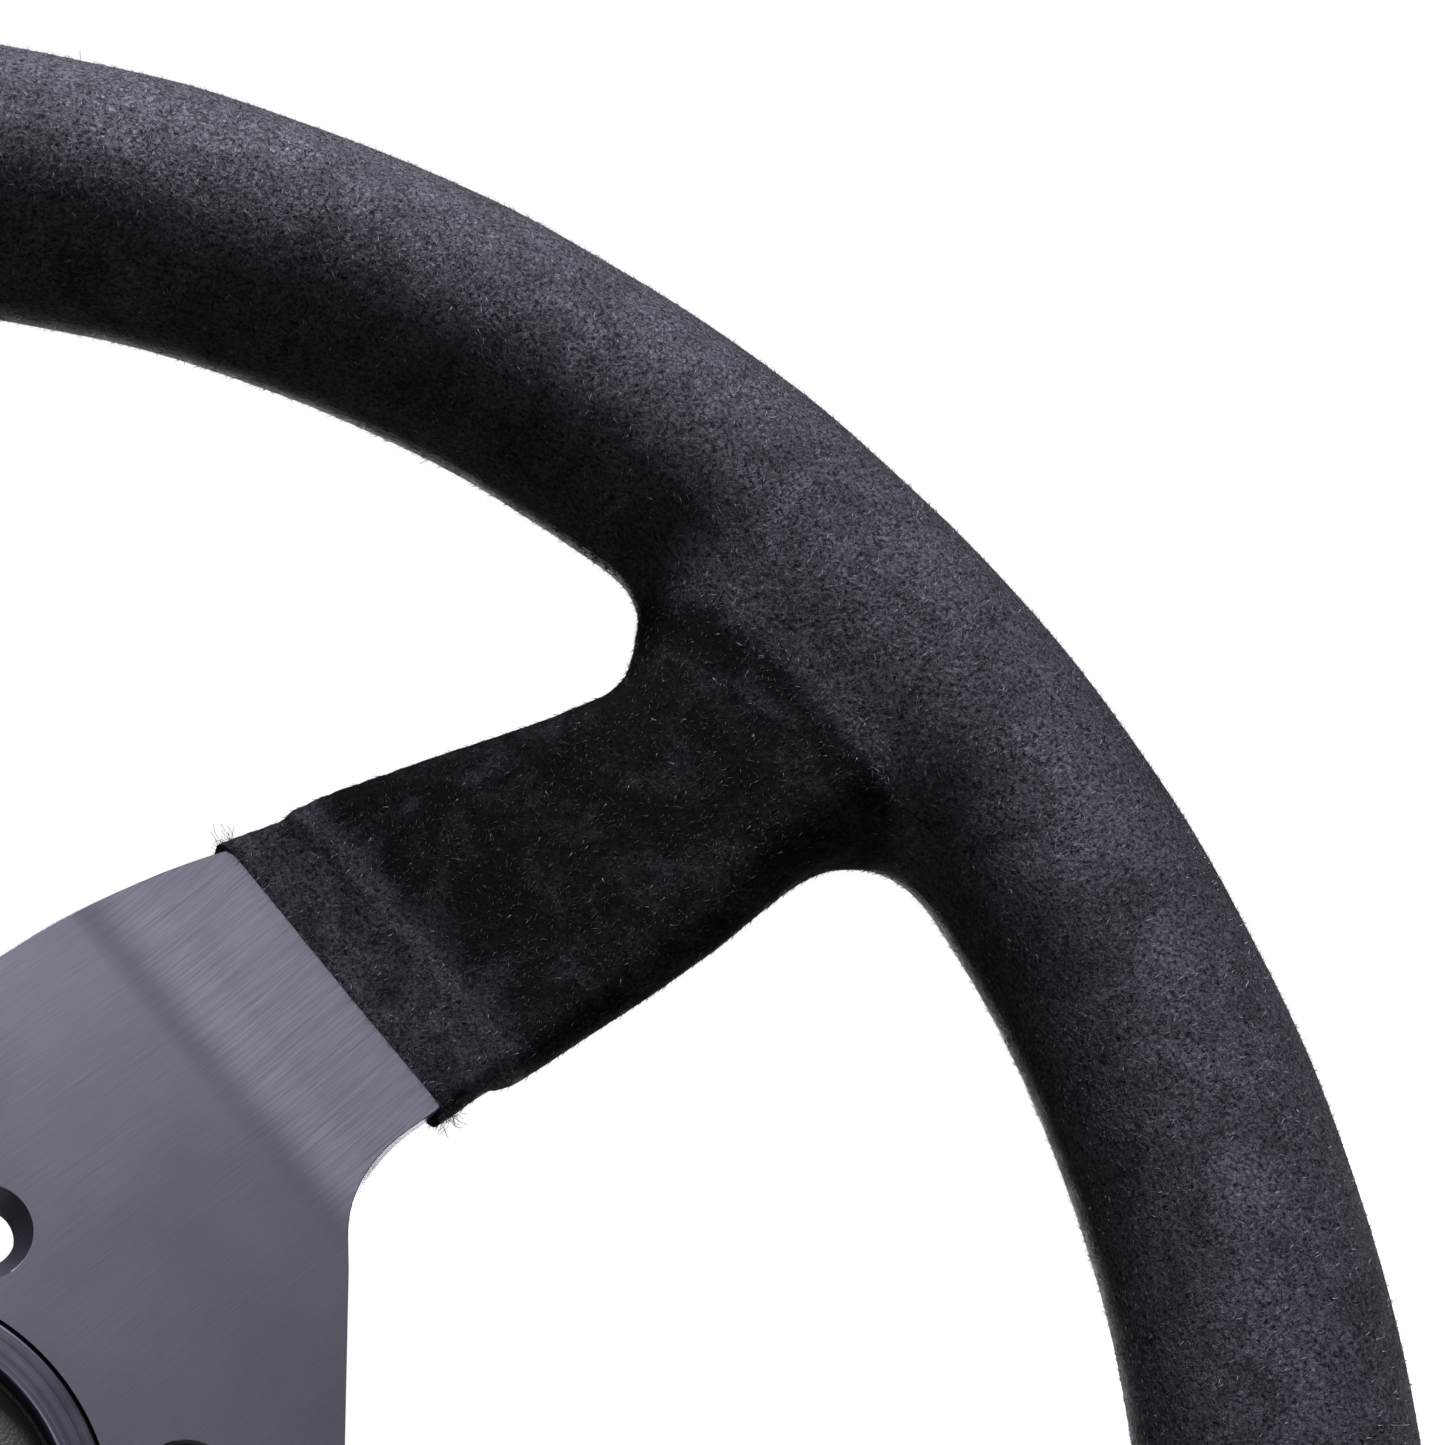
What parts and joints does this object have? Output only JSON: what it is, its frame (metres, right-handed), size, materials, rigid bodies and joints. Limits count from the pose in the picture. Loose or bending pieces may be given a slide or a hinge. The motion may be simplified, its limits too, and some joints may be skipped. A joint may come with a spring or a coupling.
{
  "type": "quick release steering wheel",
  "caption": "Round suede steering wheel with three dished spokes, a horn button and the wheel side of a ball-lock quick release.",
  "frame": {"origin": "middle of the quick release hub's rear face, on the steering axis", "axes": "+X to the driver's right, +Y along the steering axis towards the column, +Z to 12 o'clock"},
  "size_m": [0.32, 0.1027, 0.32],
  "materials": {
    "plate_anodised": "brushed, dark grey violet anodised",
    "bezel_anodised": "finely turned, dark grey violet anodised",
    "hub_anodised": "turned, black anodised",
    "collar_anodised": "scalloped for the fingers, dark grey anodised",
    "core_aluminium": "bare",
    "steel": "ground",
    "black_steel": "black oxide",
    "brass": "bare",
    "suede": "suede nap, black",
    "foam": "moulded polyurethane foam, black",
    "black_plastic": "finely grained",
    "seal_rubber": "moulded"
  },
  "bodies": {
    "wheel": {"spoke_plate": "plate_anodised", "rim_core": "core_aluminium", "spoke_rivet_1": "core_aluminium", "spoke_rivet_2": "core_aluminium", "spoke_rivet_3": "core_aluminium", "spoke_rivet_4": "core_aluminium", "spoke_rivet_5": "core_aluminium", "spoke_rivet_6": "core_aluminium", "rim_foam": "foam", "spoke_pad_right": "foam", "spoke_pad_left": "foam", "spoke_pad_bottom": "foam", "rim_cover": "suede", "spoke_sleeve_right": "suede", "spoke_sleeve_left": "suede", "spoke_sleeve_bottom": "suede", "horn_bezel": "bezel_anodised", "horn_cup": "black_plastic", "horn_terminal_1": "brass", "horn_terminal_2": "brass", "horn_spring": "steel", "collar_spring": "steel", "spline_insert": "steel", "insert_circlip": "steel", "collar_stop_ring": "steel", "release_hub": "hub_anodised", "socket_seal": "seal_rubber", "hub_screw_1": "black_steel", "hub_screw_2": "black_steel", "hub_screw_3": "black_steel"},
    "horn_button": {"horn_cap": "black_plastic", "horn_contact_disc": "brass"},
    "collar": {"release_collar": "collar_anodised"},
    "ball_1": {"lock_ball_1": "steel"},
    "ball_2": {"lock_ball_2": "steel"},
    "ball_3": {"lock_ball_3": "steel"},
    "ball_4": {"lock_ball_4": "steel"},
    "ball_5": {"lock_ball_5": "steel"},
    "ball_6": {"lock_ball_6": "steel"}
  },
  "joints": [
    {"name": "horn_press", "type": "slide", "parent": "wheel", "child": "horn_button", "axis": [0, 1, 0], "range_m": [0, 0.002], "stiffness_N_per_m": 1000, "springref_m": -0.004, "deforming": ["horn_spring"]},
    {"name": "collar_slide", "type": "slide", "parent": "wheel", "child": "collar", "axis": [0, -1, 0], "range_m": [0, 0.006], "stiffness_N_per_m": 1500, "springref_m": -0.006, "deforming": ["collar_spring"]},
    {"name": "ball_1_slide", "type": "slide", "parent": "wheel", "child": "ball_1", "axis": [1, 0, 0], "range_m": [0, 0.0021]},
    {"name": "ball_2_slide", "type": "slide", "parent": "wheel", "child": "ball_2", "axis": [0.5, 0, 0.866], "range_m": [0, 0.0021]},
    {"name": "ball_3_slide", "type": "slide", "parent": "wheel", "child": "ball_3", "axis": [-0.5, 0, 0.866], "range_m": [0, 0.0021]},
    {"name": "ball_4_slide", "type": "slide", "parent": "wheel", "child": "ball_4", "axis": [-1, 0, 0], "range_m": [0, 0.0021]},
    {"name": "ball_5_slide", "type": "slide", "parent": "wheel", "child": "ball_5", "axis": [-0.5, 0, -0.866], "range_m": [0, 0.0021]},
    {"name": "ball_6_slide", "type": "slide", "parent": "wheel", "child": "ball_6", "axis": [0.5, 0, -0.866], "range_m": [0, 0.0021]}
  ],
  "couplings": [
    {"joint": "ball_1_slide", "follows": "collar_slide", "ratio": 0.35},
    {"joint": "ball_2_slide", "follows": "collar_slide", "ratio": 0.35},
    {"joint": "ball_3_slide", "follows": "collar_slide", "ratio": 0.35},
    {"joint": "ball_4_slide", "follows": "collar_slide", "ratio": 0.35},
    {"joint": "ball_5_slide", "follows": "collar_slide", "ratio": 0.35},
    {"joint": "ball_6_slide", "follows": "collar_slide", "ratio": 0.35}
  ]
}
